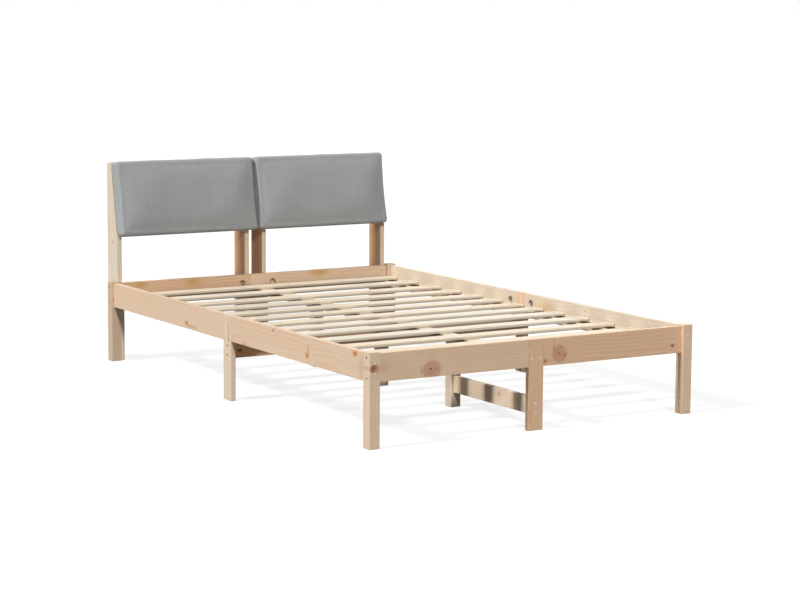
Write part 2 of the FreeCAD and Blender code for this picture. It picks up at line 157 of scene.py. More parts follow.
# Colours of each kind of knot at its heart, in its body and at its rim, and how far it bends
# the grain
KNOT_KINDS = {
    "scarlet": (((0.19, 0.03, 0.018), (0.32, 0.072, 0.038), (0.50, 0.22, 0.13)), 1.2),
    "bright": (((0.34, 0.085, 0.04), (0.62, 0.22, 0.09), (0.70, 0.40, 0.22)), 1.2),
    "arc": (((0.50, 0.19, 0.10), (0.55, 0.25, 0.14), (0.60, 0.34, 0.20)), 0.0),
    "ring": (((0.24, 0.07, 0.04), (0.50, 0.26, 0.16), (0.50, 0.24, 0.14)), 0.0),
    # Dark red colours for the posts' sides: painted shade in the cushions' shadow.
    "heartwood": (((0.57, 0.30, 0.16), (0.58, 0.31, 0.17), (0.66, 0.40, 0.24)), 0.0),
    "resin": (((0.55, 0.29, 0.10), (0.60, 0.35, 0.15), (0.62, 0.40, 0.20)), 0.9),
    "dark": (((0.05, 0.015, 0.012), (0.30, 0.085, 0.05), (0.47, 0.20, 0.11)), 1.5),
    "red": (((0.24, 0.07, 0.04), (0.47, 0.17, 0.085), (0.60, 0.32, 0.18)), 1.5),
    "orange": (((0.50, 0.18, 0.07), (0.62, 0.27, 0.11), (0.68, 0.42, 0.24)), 1.2),
    "ringed": (((0.17, 0.05, 0.03), (0.44, 0.20, 0.12), (0.52, 0.27, 0.17)), 2.6),
    "patch": (((0.62, 0.38, 0.19), (0.66, 0.44, 0.25), (0.68, 0.49, 0.31)), 0.8),
    "blush": (((0.56, 0.255, 0.15), (0.60, 0.31, 0.185), (0.64, 0.40, 0.26)), 0.0),
    "pale": (((0.42, 0.24, 0.14), (0.58, 0.38, 0.24), (0.66, 0.47, 0.31)), 1.2),
}

# Where a knot has these colours: distance from its middle in diameters, colour there, and how far
# it covers the wood
HEART, BODY, RIM = range(3)
SOLID = ((0.0, HEART, 0.95), (0.10, HEART, 0.9), (0.2, BODY, 0.85), (0.42, RIM, 0.6))
FAINT = ((0.0, HEART, 0.65), (0.3, BODY, 0.5), (0.45, RIM, 0.3))
SPREADS = {
    "arc": ((0.0, HEART, 0.75), (0.2, BODY, 0.6), (0.4, RIM, 0.35)),
    "heartwood": ((0.0, HEART, 0.9), (0.3, BODY, 0.9), (0.5, RIM, 0.7)),
    "resin": ((0.0, HEART, 0.8), (0.25, BODY, 0.75), (0.45, RIM, 0.5)),
    "ring": (
        (0.0, HEART, 0.9),
        (0.12, HEART, 0.8),
        (0.2, BODY, 0.15),
        (0.38, BODY, 0.2),
        (0.5, RIM, 0.6),
    ),
    "ringed": (
        (0.0, RIM, 0.2),
        (0.07, RIM, 0.25),
        (0.12, RIM, 0.3),
        (0.36, RIM, 0.4),
        (0.46, BODY, 0.7),
    ),
    "scarlet": (
        (0.0, HEART, 0.95),
        (0.12, HEART, 0.9),
        (0.25, BODY, 0.9),
        (0.42, BODY, 0.8),
        (0.5, RIM, 0.5),
    ),
    "patch": FAINT,
    "blush": FAINT,
}
SPREAD_END = 0.66  # where its colour is gone

KNOT_THROUGH = 0.15  # how fast a knot fades through its board, beside across it
KNOT_RAGGEDNESS = 0.6  # how ragged its edge is, in radii
KNOT_RAGS = 5  # how many times the edge wavers in a radius
KNOT_BEND_FALL = 0.22  # how fast its bend of the grain fades
KNOT_RING_RATE = 15  # how close the rings inside a ringed knot lie
KNOT_RING_DEPTH = 0.08  # how far they shift its colours

SPARE_KNOT_SPACING = 0.45  # metres from knot to knot in a board whose faces don't show
SPARE_KNOT_RADII = (0.003, 0.007)
SPARE_KNOT_STRETCH = 1.3
SPARE_KNOT_KINDS = ("dark", "red", "orange", "patch", "pale")

# How strongly the rings and the warm patches of each wood show
GRAIN = {
    "pine": (0.62, 0.7),
    "slat_wood": (0.32, 0.2),
    "plywood": (0.9, 0.6),
    "beech_dowel": (0.5, 0.4),
}

# Darkness of the wood through one year's growth
LATE_WOOD = ((0.0, 0.45), (0.10, 0.06), (0.45, 0.08), (0.84, 0.7), (0.96, 1.0))
RING_DRIFT = 0.06  # metres that the rings wander along a board
RING_WOBBLE = 0.0022  # metres that they waver
RING_LEAST = 0.2  # least strength of the rings beside their contrast
RING_RELIEF = 0.35  # their height beside the fibres'
FIBRE_GREYS = ((0.25, 0.87), (0.75, 1.02))
WARM_PATCH = (0.98, 0.86, 0.75)  # colour of a warm patch beside the wood round it
CREAM = (0, 0.15, 0.28)  # what a paleness of 1 adds to a wood's red, green and blue
PALE_LOSS = 0.4  # share of the rings' contrast that it takes away
SPARE_PALENESS = 0.3  # furthest paleness drawn for a board that isn't in the table

THREAD_AXES = (0, 2)  # axes of a cloth along which its threads run
THREAD_HEIGHT_SHARE = 0.45  # how much of its colour follows the height of the threads
YARN_SHARE = 0.35  # how much follows the thick and thin places in the yarn
CLOTH_BASE_SHARE = 0.22  # how much is the same all over
YARN_RELIEF = 0.6  # height of the thick places beside the threads'
STREAK_GREYS = ((0.38, 0.89), (0.62, 1.0))
BLOTCH_GREYS = ((0.3, 0.975), (0.7, 1.0))

WORN_GREY = (0.72, 0.72, 0.72)  # metal in its scratches and dull patches
DULL_SPREAD = 0.25  # how much rougher the dull patches are
DULL_START = 0.1  # how much smoother than its roughness the metal is elsewhere
SCRATCH_DEPTH = 0.00005

HELD_BEHIND = (0.1, 0.5)  # where the simulation takes hold of a cushion, in shares of its thickness
HELD_RIM = (0.002, 0.04)  # where it lets go, in metres from the rim
PUCKER_SEED = 7.3
PUCKER_START = 0.012  # metres in front of a cushion's back where the puckers begin
PUCKER_GROWTH = 0.02  # metres in which they grow
WAVE_HEIGHT = 0.0012  # waves near the edges of the cover
WAVE_REACH = 0.03
WAVE_SCALE = 16
WAVE_SCALE_DEEP = 10
SLACK_HEIGHT = 0.0010  # slack all over the cover
SLACK_SCALE = 5
HEM_HEIGHT = 0.0016  # waves of the upper and lower edge
HEM_REACH = 0.02
HEM_SCALE = 11
BOW_REACH = 0.025  # metres over which the drawn-in side fades

# Each lamp's setting, its width beside the softness, and the way from the bed to it
LAMPS = (
    ("key", 1, (-0.743, 0, 0.669)),
    ("fill", 1, (-0.19, -0.82, 0.54)),
    ("back", 2, (0.6, 0.7, 0.38)),
)


def colour_property(name, description, default):
    return FloatVectorProperty(
        name=name, description=description, default=default, subtype="COLOR", size=3, min=0, max=1
    )


def length_property(name, description, default):
    return FloatProperty(name=name, description=description, default=default, unit="LENGTH", min=0)


def angle_property(name, description, degrees):
    default = math.radians(degrees)
    return FloatProperty(name=name, description=description, default=default, subtype="ANGLE")


def amount_property(name, description, default):
    return FloatProperty(name=name, description=description, default=default, min=0)


class BedTimberSettings(bpy.types.PropertyGroup):
    pine_light: colour_property(
        "Pine", "Colour of the pale wood between the rings", (0.785, 0.605, 0.443)
    )
    pine_dark: colour_property(
        "Pine rings", "Colour of the dark line of each ring", (0.66, 0.424, 0.26)
    )
    slat_light: colour_property("Slats", "Colour of the slats' pale wood", (0.785, 0.695, 0.555))
    slat_dark: colour_property("Slat rings", "Colour of the slats' dark grain", (0.70, 0.56, 0.385))
    plywood_light: colour_property(
        "Plywood", "Colour of the backing boards' veneer", (0.70, 0.54, 0.36)
    )
    plywood_dark: colour_property(
        "Plywood grain", "Colour of the veneer's dark grain", (0.52, 0.36, 0.21)
    )
    dowel_light: colour_property("Dowels", "Colour of the beech dowels", (0.68, 0.50, 0.33))
    dowel_dark: colour_property("Dowel grain", "Colour of the beech's flecks", (0.50, 0.32, 0.19))
    ring_pitch: length_property("Ring pitch", "Width of one year's growth", 0.0105)
    slat_ring_pitch: length_property(
        "Slat ring pitch", "Width of one year's growth in a slat", 0.004
    )
    plywood_pitch: length_property(
        "Plywood pitch", "Width of one year's growth in the plywood", 0.011
    )
    dowel_pitch: length_property("Dowel pitch", "Width of one year's growth in a dowel", 0.002)
    fibre_depth: length_property("Fibre depth", "Depth of the fibres in the planed faces", 0.00012)


class BedFabricSettings(bpy.types.PropertyGroup):
    cover: colour_property("Cover", "Colour of the cushions' cover", (0.418, 0.438, 0.442))
    cover_dark: colour_property(
        "Cover shade", "Colour deep between the cover's threads", (0.275, 0.288, 0.287)
    )
    thread_pitch: length_property("Thread pitch", "Distance from one thread to the next", 0.0015)
    weave_depth: length_property("Weave depth", "Height of the threads", 0.00028)
    height: length_property("Height", "Height of a cushion along its lean", 0.288)
    thickness: length_property("Thickness", "Thickness of a cushion at its edge", 0.048)
    edge_radius: length_property("Edge radius", "Rounding of the front edges", 0.014)
    parting: length_property("Parting", "Gap between the two cushions", 0.003)
    crown: length_property("Crown", "Furthest that the filling swells", 0.0135)
    side_bow: length_property("Side bow", "Furthest that the cover draws the side edges in", 0.006)
    rest_gap: length_property("Rest gap", "Clearance between a cushion and its posts", 0.0003)
    wrap: length_property("Wrap", "Width of the cover turned over the backing board", 0.025)
    wrap_thickness: length_property("Wrap thickness", "Thickness of the cover there", 0.0015)
    board_thickness: length_property("Board thickness", "Thickness of the backing board", 0.012)
    board_border: length_property("Board border", "Cover round the edges of the board", 0.004)
    lean: angle_property("Lean", "Angle that the cushions lean back", 10)
    pressure: amount_property("Pressure", "Pressure of the filling", 4)
    voxel: length_property("Voxel", "Mesh size for the cloth simulation", 0.005)
    frames: IntProperty(
        name="Frames", description="Length of the cloth simulation", default=20, min=2
    )


class BedFittingSettings(bpy.types.PropertyGroup):
    # The end screws' colour is far paler than the zinc: a painted glint on heads that face the
    # bed's ends.
    screws: colour_property(
        "Screws", "Colour of the screw heads in the bed's ends", (0.72, 0.655, 0.55)
    )
    # The side screws' colour is far darker than the zinc: painted shade on heads that face the
    # bed's sides.
    side_screws_painted_shade: colour_property(
        "Side screws", "Colour of the screw heads in the bed's sides", (0.24, 0.205, 0.16)
    )
    nuts: colour_property(
        "Nuts", "Colour of the nuts, washers, bolts and staples", (0.62, 0.61, 0.59)
    )
    webbing: colour_property("Webbing", "Colour of the straps", (0.040, 0.022, 0.010))
    webbing_dark: colour_property(
        "Webbing shade", "Colour deep between the straps' threads", (0.014, 0.0077, 0.0035)
    )
    webbing_pitch: length_property("Webbing pitch", "Distance from one thread to the next", 0.0012)
    webbing_depth: length_property("Webbing depth", "Height of the straps' threads", 0.0002)


class BedStageSettings(bpy.types.PropertyGroup):
    lens: FloatProperty(
        name="Lens", description="Focal length of the camera", default=100.787, unit="CAMERA"
    )
    eye: FloatVectorProperty(
        name="Camera",
        description="Place of the camera",
        default=(-4.0738, -6.8388, 1.39315),
        unit="LENGTH",
    )
    heading: angle_property("Heading", "Turn of the camera about Z", -31.402)
    pitch: angle_property("Pitch", "Tilt of the camera from level", -7.793)
    roll: angle_property("Roll", "Roll of the camera", 0.394)
    key: amount_property("Key", "Light on a face turned to the key lamp, high on the left", 0.90)
    fill: amount_property("Fill", "Light on a face turned to the fill lamp, in front", 0.62)
    back: amount_property(
        "Back", "Light on a face turned to the back lamp, behind on the right", 0.25
    )
    softness: angle_property("Softness", "Width of the key and fill lamps as the bed sees them", 7)
    ambient: amount_property("Ambient", "Light from all round", 0.078)
    ambient_tint: colour_property(
        "Ambient tint", "Colour of the light from all round", (1.0, 0.86, 0.68)
    )
    floor: colour_property("Floor", "Colour of the floor", (0.25, 0.25, 0.25))
    floor_lift: amount_property(
        "Floor lift", "White added to the floor as the camera sees it", 0.82
    )


def settings(name):
    return getattr(bpy.context.scene, "bed_" + name)


def add_node(tree, kind, inputs=None, **values):
    """A new node with its settings, and each input linked to a socket or set to a value."""
    made = tree.nodes.new(kind)
    for key, value in values.items():
        setattr(made, key, value)
    for key, value in (inputs or {}).items():
        if isinstance(value, bpy.types.NodeSocket):
            tree.links.new(value, made.inputs[key])
        else:
            made.inputs[key].default_value = value
    return made


def maths(tree, operation, *values):
    return add_node(tree, "ShaderNodeMath", dict(enumerate(values)), operation=operation).outputs[0]


def vector_maths(tree, operation, *values):
    made = add_node(tree, "ShaderNodeVectorMath", dict(enumerate(values)), operation=operation)
    return made.outputs["Value" if operation == "LENGTH" else "Vector"]


def mapped(tree, vector, location=(0, 0, 0), rotation=(0, 0, 0), scale=(1, 1, 1)):
    inputs = {"Vector": vector, "Location": location, "Rotation": rotation, "Scale": scale}
    return add_node(tree, "ShaderNodeMapping", inputs).outputs[0]


def noise_value(tree, vector, scale, detail=2.0, roughness=0.5):
    inputs = {"Vector": vector, "Scale": scale, "Detail": detail, "Roughness": roughness}
    return add_node(tree, "ShaderNodeTexNoise", inputs).outputs["Fac"]


def long_noise(tree, vector, along, across, detail=2.0, roughness=0.5, axis=0):
    """Noise drawn out along one axis, with its scale along that axis and its scale across it."""
    scale = [across] * 3
    scale[axis] = along
    return noise_value(tree, mapped(tree, vector, scale=scale), 1.0, detail, roughness)


def mix_colour(tree, factor, first, second, blend="MIX"):
    """A mix of two colours, each one a socket or a red, green and blue."""
    inputs = {0: factor}
    for key, value in ((6, first), (7, second)):
        inputs[key] = value if isinstance(value, bpy.types.NodeSocket) else (*value, 1)
    return add_node(tree, "ShaderNodeMix", inputs, data_type="RGBA", blend_type=blend).outputs[2]


def ramp(tree, factor, stops):
    """A colour ramp through stops of place, colour and alpha."""
    made = add_node(tree, "ShaderNodeValToRGB", {"Fac": factor})
    points = made.color_ramp.elements
    while len(points) < len(stops):
        points.new(0.5)
    for point, (place, colour, alpha) in zip(points, stops):
        point.position = place
        point.color = (*colour, alpha)
    return made.outputs["Color"], made.outputs["Alpha"]


def grey_ramp(tree, factor, levels):
    """A ramp through greys, each given as its place and its level."""
    return ramp(tree, factor, [(place, (level, level, level), 1) for place, level in levels])[0]


def shaded(tree, colour, factor, levels):
    """The colour times a grey that follows the factor through the given places and levels."""
    return mix_colour(tree, 1.0, colour, grey_ramp(tree, factor, levels), "MULTIPLY")


def new_material(name, roughness, specular=0.5, **sockets):
    """A material with one Principled shader, and its constant values set on that shader."""
    material = bpy.data.materials.new(name)
    material.use_nodes = True
    tree = material.node_tree
    shader = tree.nodes["Principled BSDF"]
    shader.inputs["Roughness"].default_value = roughness
    shader.inputs["Specular IOR Level"].default_value = specular
    for key, value in sockets.items():
        shader.inputs[key.replace("_", " ")].default_value = value
    return material, tree, shader


def add_bump(tree, shader, height, distance):
    inputs = {"Height": height, "Distance": distance, "Strength": 1.0}
    bump = add_node(tree, "ShaderNodeBump", inputs)
    tree.links.new(bump.outputs[0], shader.inputs["Normal"])


def dress(node, material):
    """Gives a CAD node its finish."""
    mesh = frame["nodes"][node].data
    mesh.materials.clear()
    mesh.materials.append(material)


def board_axes(low, high):
    """The axes along, across and through a board."""
    size = high - low
    return sorted(range(3), key=lambda axis: (-round(size[axis], 4), axis))


def knot_layers(tree, coords, board, knot):
    """One knot as its bend of the rings, its colour and how far it covers the wood."""
    low, high = board
    along, across, through = board_axes(low, high)
    along_share, across_share, radius, stretch, kind = knot
    colours, bend = KNOT_KINDS[kind]
    place = (low + high) / 2
    place[along] = low[along] + along_share * (high[along] - low[along])
    place[across] = low[across] + across_share * (high[across] - low[across])
    scale = Vector((1, 1, 1)) / radius
    scale[along] /= stretch
    scale[through] *= KNOT_THROUGH
    offset = vector_maths(tree, "SUBTRACT", coords, tuple(place))
    offset = vector_maths(tree, "MULTIPLY", offset, tuple(scale))
    ragged = noise_value(tree, coords, scale=KNOT_RAGS / radius, detail=3)
    ragged = maths(tree, "MULTIPLY_ADD", ragged, KNOT_RAGGEDNESS, -KNOT_RAGGEDNESS / 2)
    reach = maths(tree, "ADD", vector_maths(tree, "LENGTH", offset), ragged)
    square = maths(tree, "MULTIPLY", reach, reach)
    fall = maths(tree, "EXPONENT", maths(tree, "MULTIPLY", square, -KNOT_BEND_FALL))
    bent = maths(tree, "MULTIPLY", fall, bend * radius)
    if kind == "ringed":
        waves = maths(tree, "SINE", maths(tree, "MULTIPLY", reach, KNOT_RING_RATE))
        reach = maths(tree, "ADD", reach, maths(tree, "MULTIPLY", waves, KNOT_RING_DEPTH))
    stops = [(where, colours[part], cover) for where, part, cover in SPREADS.get(kind, SOLID)]
    stops.append((SPREAD_END, colours[RIM], 0.0))
    diameters = maths(tree, "MULTIPLY", reach, 0.5)
    shade, cover = ramp(tree, diameters, stops)
    return bent, shade, cover


def grain_coords(tree, coords, board, rng):
    """Coordinates along a board's grain and from the heart of its tree, beside the board."""
    low, high = board
    along = board_axes(low, high)[0]
    turn = ((0, 0, 0), (0, 0, -math.pi / 2), (0, math.pi / 2, 0))[along]
    centre = Euler(turn).to_matrix() @ ((low + high) / 2)
    heart_angle = rng.uniform(0.2, 0.8) * math.pi
    heart_reach = rng.uniform(0.05, 0.10)
    place = (
        rng.uniform(0, 20),
        heart_reach * math.cos(heart_angle) - centre.y,
        heart_reach * math.sin(heart_angle) - centre.z,
    )
    return mapped(tree, coords, place, turn)


def late_wood(tree, turned, bends, pitch):
    """The dark lines of the year rings, which drift, wobble and bend round the knots."""
    drift = long_noise(tree, turned, along=0.9, across=7)
    wobble = long_noise(tree, turned, along=9, across=70)
    ring = vector_maths(tree, "LENGTH", vector_maths(tree, "MULTIPLY", turned, (0, 1, 1)))
    ring = maths(tree, "MULTIPLY_ADD", drift, RING_DRIFT, ring)
    ring = maths(tree, "MULTIPLY_ADD", wobble, RING_WOBBLE, ring)
    for bend in bends:
        ring = maths(tree, "ADD", ring, bend)
    phase = maths(tree, "FRACT", maths(tree, "DIVIDE", ring, pitch))
    return grey_ramp(tree, phase, LATE_WOOD)


def timber_material(name, board, light, dark, ring_pitch, knots, contrast, tone):
    """Wood with year rings, fibres along the board, warm patches and its knots."""
    material, tree, shader = new_material(name, roughness=0.6, specular=0.12)
    rng = random.Random(name)
    coords = add_node(tree, "ShaderNodeTexCoord").outputs["Object"]
    turned = grain_coords(tree, coords, board, rng)
    layers = [knot_layers(tree, coords, board, knot) for knot in knots]
    late = late_wood(tree, turned, [bend for bend, _, _ in layers], ring_pitch)
    strength = long_noise(tree, turned, along=2, across=14, detail=1)
    strength = maths(tree, "MULTIPLY_ADD", strength, contrast, contrast * RING_LEAST)
    colour = mix_colour(tree, maths(tree, "MULTIPLY", late, strength), light, dark)
    fibre = long_noise(tree, turned, along=14, across=620, detail=3, roughness=0.6)
    colour = shaded(tree, colour, fibre, FIBRE_GREYS)
    patches = long_noise(tree, turned, along=1.6, across=9)
    patches = maths(tree, "MULTIPLY", patches, tone * rng.uniform(0.4, 1.0))
    warm = tuple(channel * share for channel, share in zip(light, WARM_PATCH))
    colour = mix_colour(tree, patches, colour, warm)
    for _, shade, cover in layers:
        colour = mix_colour(tree, cover, colour, shade)
    tree.links.new(colour, shader.inputs["Base Color"])
    height = maths(tree, "MULTIPLY_ADD", late, RING_RELIEF, fibre)
    add_bump(tree, shader, height, settings("timber").fibre_depth)
    return material


def pine_knots(name, board):
    """The knots that show in a board, or else made-up ones."""
    return KNOTS.get(name) or spare_knots(name, board)


def spare_knots(name, board):
    """Small knots for a board whose faces don't show."""
    low, high = board
    rng = random.Random(name + " knots")
    count = max(1, round((high - low).length / SPARE_KNOT_SPACING))
    knots = []
    for number in range(count):
        along = (number + rng.uniform(0.15, 0.85)) / count
        across = rng.uniform(0.15, 0.85)
        radius = rng.uniform(*SPARE_KNOT_RADII)
        knots.append((along, across, radius, SPARE_KNOT_STRETCH, rng.choice(SPARE_KNOT_KINDS)))
    return tuple(knots)


def slat_knots(name, board):
    """A small pale knot in about half of the slats."""
    rng = random.Random(name)
    pale = (rng.uniform(0.1, 0.9), rng.uniform(0.2, 0.8), 0.004, 1.8, "pale")
    return (pale,) if rng.random() < 0.5 else ()


def no_knots(name, board):
    return ()


def crossed_noise(tree, turned, along, across, detail, roughness):
    """The mean of two noises that are drawn out along the two ways of a cloth's threads."""
    look = (along, across, detail, roughness)
    both = [long_noise(tree, turned, *look, axis) for axis in THREAD_AXES]
    return maths(tree, "MULTIPLY", maths(tree, "ADD", *both), 0.5)


def weave_material(name, colour, shade, pitch, depth, turn, roughness, sheen):
    """Plain-woven cloth: threads over and under, with thick and thin places in the yarn."""
    material, tree, shader = new_material(
        name, roughness, specular=0.2, Sheen_Weight=sheen, Sheen_Roughness=0.6
    )
    coords = add_node(tree, "ShaderNodeTexCoord").outputs["Object"]
    turned = mapped(tree, coords, rotation=turn)
    axes = add_node(tree, "ShaderNodeSeparateXYZ", {"Vector": turned}).outputs
    waver = noise_value(tree, turned, scale=120, detail=2)
    waves = []
    for axis in THREAD_AXES:
        shifted = maths(tree, "MULTIPLY_ADD", waver, pitch * 0.5, axes[axis])
        waves.append(maths(tree, "SINE", maths(tree, "MULTIPLY", shifted, 2 * math.pi / pitch)))
    height = maths(tree, "MULTIPLY_ADD", maths(tree, "MULTIPLY", *waves), 0.5, 0.5)
    yarn = crossed_noise(tree, turned, along=9, across=400, detail=2, roughness=0.6)
    woven = maths(tree, "MULTIPLY_ADD", yarn, YARN_SHARE, CLOTH_BASE_SHARE)
    woven = maths(tree, "MULTIPLY_ADD", height, THREAD_HEIGHT_SHARE, woven)
    cloth = mix_colour(tree, woven, shade, colour)
    streaks = crossed_noise(tree, turned, along=5, across=130, detail=3, roughness=0.65)
    cloth = shaded(tree, cloth, streaks, STREAK_GREYS)
    cloth = shaded(tree, cloth, noise_value(tree, turned, scale=7, detail=3), BLOTCH_GREYS)
    tree.links.new(cloth, shader.inputs["Base Color"])
    add_bump(tree, shader, maths(tree, "MULTIPLY_ADD", yarn, YARN_RELIEF, height), depth)
    return material


def metal_material(name, colour, side_shade_colour, roughness, scratch_scale):
    """Plated metal with fine scratches and dull patches, and a second colour on faces turned along
    X: for the screws that colour is painted shade, and the first one a painted glint.
    """
    material, tree, shader = new_material(name, roughness, Metallic=1.0)
    coords = add_node(tree, "ShaderNodeTexCoord").outputs
    drawn_out = mapped(tree, coords["Object"], scale=(1, 1, 6))
    fine = noise_value(tree, drawn_out, scratch_scale, detail=3, roughness=0.6)
    # Blend by how far each face turns along X: painted shade on the screws' sideways heads, painted
    # glint on the rest.
    across = add_node(tree, "ShaderNodeSeparateXYZ", {"Vector": coords["Normal"]}).outputs[0]
    plated_and_painted_facing = mix_colour(tree, maths(tree, "ABSOLUTE", across), colour, side_shade_colour)
    worn = mix_colour(tree, fine, WORN_GREY, (1, 1, 1))
    tree.links.new(mix_colour(tree, 1.0, plated_and_painted_facing, worn, "MULTIPLY"), shader.inputs["Base Color"])
    rough = maths(tree, "MULTIPLY_ADD", fine, DULL_SPREAD, roughness - DULL_START)
    tree.links.new(rough, shader.inputs["Roughness"])
    add_bump(tree, shader, fine, SCRATCH_DEPTH)
    return material


def toned(colour, paleness_and_painted_light, brightness_and_painted_light):
    """A wood colour made creamier or redder, and brighter or darker."""
    return tuple(
        brightness_and_painted_light * channel * (1 + paleness_and_painted_light * share) for channel, share in zip(colour, CREAM)
    )


def finish_boards(slot, light, dark, pitch, knots_of):
    """Gives each board of one wood its tone, grain and knots, a few of which are painted light or
    shade.
    """
    contrast, tone = GRAIN[slot]
    for name in nodes_of(slot):
        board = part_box(name)
        spare_paleness = random.Random(name).uniform(-SPARE_PALENESS, SPARE_PALENESS)
        paleness_and_painted_light = PALENESS_AND_PAINTED_LIGHT.get(name, spare_paleness)
        woods = [toned(wood, paleness_and_painted_light, BRIGHTNESS_AND_PAINTED_LIGHT.get(name, 1)) for wood in (light, dark)]
        grain = contrast * (1 - PALE_LOSS * paleness_and_painted_light)
        dress(name, timber_material(name, board, *woods, pitch, knots_of(name, board), grain, tone))


def nodes_of(slot):
    names = [part["node"] for part in frame["record"]["subparts"] if part["material_slot"] == slot]
    if not names:
        raise RuntimeError("The frame has no piece of " + slot)
    return names


class BED_OT_pine(bpy.types.Operator):
    """Finish the legs, rails, posts, ledgers and beams in pine"""

    bl_idname = "bed.pine"
    bl_label = "Finish the pine"

    def execute(self, context):
        look = settings("timber")
        wood = (look.pine_light, look.pine_dark, look.ring_pitch)
        finish_boards("pine", *wood, pine_knots)
        return {"FINISHED"}


class BED_OT_slats(bpy.types.Operator):
    """Finish the slats in pale, straight-grained wood"""

    bl_idname = "bed.slats"
    bl_label = "Finish the slats"

    def execute(self, context):
        look = settings("timber")
        wood = (look.slat_light, look.slat_dark, look.slat_ring_pitch)
        finish_boards("slat_wood", *wood, slat_knots)
        return {"FINISHED"}


class BED_OT_boards(bpy.types.Operator):
    """Finish the plywood backing boards and the dowels"""

    bl_idname = "bed.boards"
    bl_label = "Finish the plywood and dowels"

    def execute(self, context):
        look = settings("timber")
        plywood = (look.plywood_light, look.plywood_dark, look.plywood_pitch)
        finish_boards("plywood", *plywood, spare_knots)
        beech = (look.dowel_light, look.dowel_dark, look.dowel_pitch)
        finish_boards("beech_dowel", *beech, no_knots)
        return {"FINISHED"}


class BED_OT_fittings(bpy.types.Operator):
    """Finish the screws, bolts, nuts, staples and straps"""

    bl_idname = "bed.fittings"
    bl_label = "Finish the fittings"

    def execute(self, context):
        look = settings("fittings")
        # The screws take a painted glint on heads facing the ends and painted shade on heads facing
        # the sides.
        colours = (look.screws, look.side_screws_painted_shade)
        dull = metal_material("screw zinc with painted glint and shade", *colours, roughness=0.45, scratch_scale=900)
        colours = (look.nuts, look.nuts)
        bright = metal_material("bright zinc", *colours, roughness=0.35, scratch_scale=500)
        for name in nodes_of("zinc_steel"):
            dress(name, dull if name.endswith("screws") else bright)
        colours = (look.webbing, look.webbing_dark)
        threads = (look.webbing_pitch, look.webbing_depth, (math.pi / 2, 0, 0))
        webbing = weave_material("webbing", *colours, *threads, roughness=0.95, sheen=0)
        for name in nodes_of("strap_webbing"):
            dress(name, webbing)
        return {"FINISHED"}


def deselect_all():
    for thing in bpy.context.selected_objects:
        thing.select_set(False)


def activate(thing):
    deselect_all()
    thing.select_set(True)
    bpy.context.view_layer.objects.active = thing


def apply_modifier(thing, name):
    activate(thing)
    bpy.ops.object.modifier_apply(modifier=name)


def settle(thing):
    """Moves an object's place, turn and size into its mesh, so that it sits at the origin."""
    activate(thing)
    bpy.ops.object.transform_apply(location=True, rotation=True, scale=True)


def cushion_place(look, board):
    """The turn and place that lean a cushion back: its lower back edge is its origin."""
    low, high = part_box(board)
    sine = math.sin(look.lean)
    cosine = math.cos(look.lean)
    back = look.rest_gap + look.wrap_thickness
    foot_z = low.z - back * sine - look.board_border * cosine
    foot_y = high.y + back * cosine - (look.height - look.board_border) * sine
    return Matrix.Translation((0, foot_y, foot_z)) @ Matrix.Rotation(-look.lean, 4, "X")


def rough_cushion(name, look, inner, outer):
    """An upright block with rounded front edges and corners, a little smaller than the cushion."""
    deselect_all()
    shrink = 0.002
    tolerance = 0.001
    size = (outer - inner - shrink, look.thickness - shrink, look.height - shrink)
    centre = ((inner + outer) / 2, -look.rest_gap - size[1] / 2, look.height / 2)
    bpy.ops.mesh.primitive_cube_add(size=1, location=centre, scale=size)
    cushion = bpy.context.object
    cushion.name = name
    settle(cushion)
    bpy.ops.object.mode_set(mode="EDIT")
    bpy.ops.mesh.select_mode(type="EDGE")
    bpy.ops.mesh.select_all(action="DESELECT")
    mesh = bmesh.from_edit_mesh(cushion.data)
    front = -look.rest_gap - size[1]
    for edge in mesh.edges:
        ends = [vertex.co for vertex in edge.verts]
        in_front = all(abs(end.y - front) < tolerance for end in ends)
        if in_front or abs(ends[0].y - ends[1].y) > tolerance:
            edge.select = True
    bmesh.update_edit_mesh(cushion.data)
    bpy.ops.mesh.bevel(offset=look.edge_radius, segments=4, affect="EDGES")
    bpy.ops.object.mode_set(mode="OBJECT")
    return cushion


def remesh(thing, voxel):
    modifier = thing.modifiers.new("voxels", "REMESH")
    modifier.mode = "VOXEL"
    modifier.voxel_size = voxel
    apply_modifier(thing, modifier.name)


def clamped(value):
    return min(max(value, 0), 1)


def smooth_share(value, start, end):
    share = clamped((value - start) / (end - start))
    return share * share * (3 - 2 * share)


def noise_at(x, y, z):
    return noise.noise(Vector((x, y, z)))


def fading(distance, reach):
    """1 at an edge, fading with the distance from it."""
    return math.exp(-max(distance, 0) / reach)


def puff_up(cushion, look, inner, outer):
    """Swells the cushion's front with a cloth simulation, its back and its rim held."""
    front = -look.rest_gap - look.thickness
    held = cushion.vertex_groups.new(name="held")
    for vertex in cushion.data.vertices:
        place = vertex.co
        from_rim = min(place.x - inner, outer - place.x, place.z, look.height - place.z)
        behind = smooth_share((place.y - front) / look.thickness, *HELD_BEHIND)
        held.add([vertex.index], max(behind, 1 - smooth_share(from_rim, *HELD_RIM)), "REPLACE")
    before = [vertex.co.copy() for vertex in cushion.data.vertices]
    activate(cushion)
    bpy.ops.object.modifier_add(type="CLOTH")
    cloth = cushion.modifiers[-1]
    cloth.settings.use_pressure = True
    cloth.settings.uniform_pressure_force = look.pressure
    cloth.settings.effector_weights.gravity = 0
    cloth.settings.vertex_group_mass = held.name
    cloth.settings.quality = 5
    cloth.point_cache.frame_start = 1
    cloth.point_cache.frame_end = look.frames
    for number in range(1, look.frames + 1):
        bpy.context.scene.frame_set(number)
    apply_modifier(cushion, cloth.name)
    bpy.context.scene.frame_set(1)
    moves = list(zip(cushion.data.vertices, before))
    share = look.crown / max((vertex.co - start).length for vertex, start in moves)
    for vertex, start in moves:
        vertex.co = start.lerp(vertex.co, share)


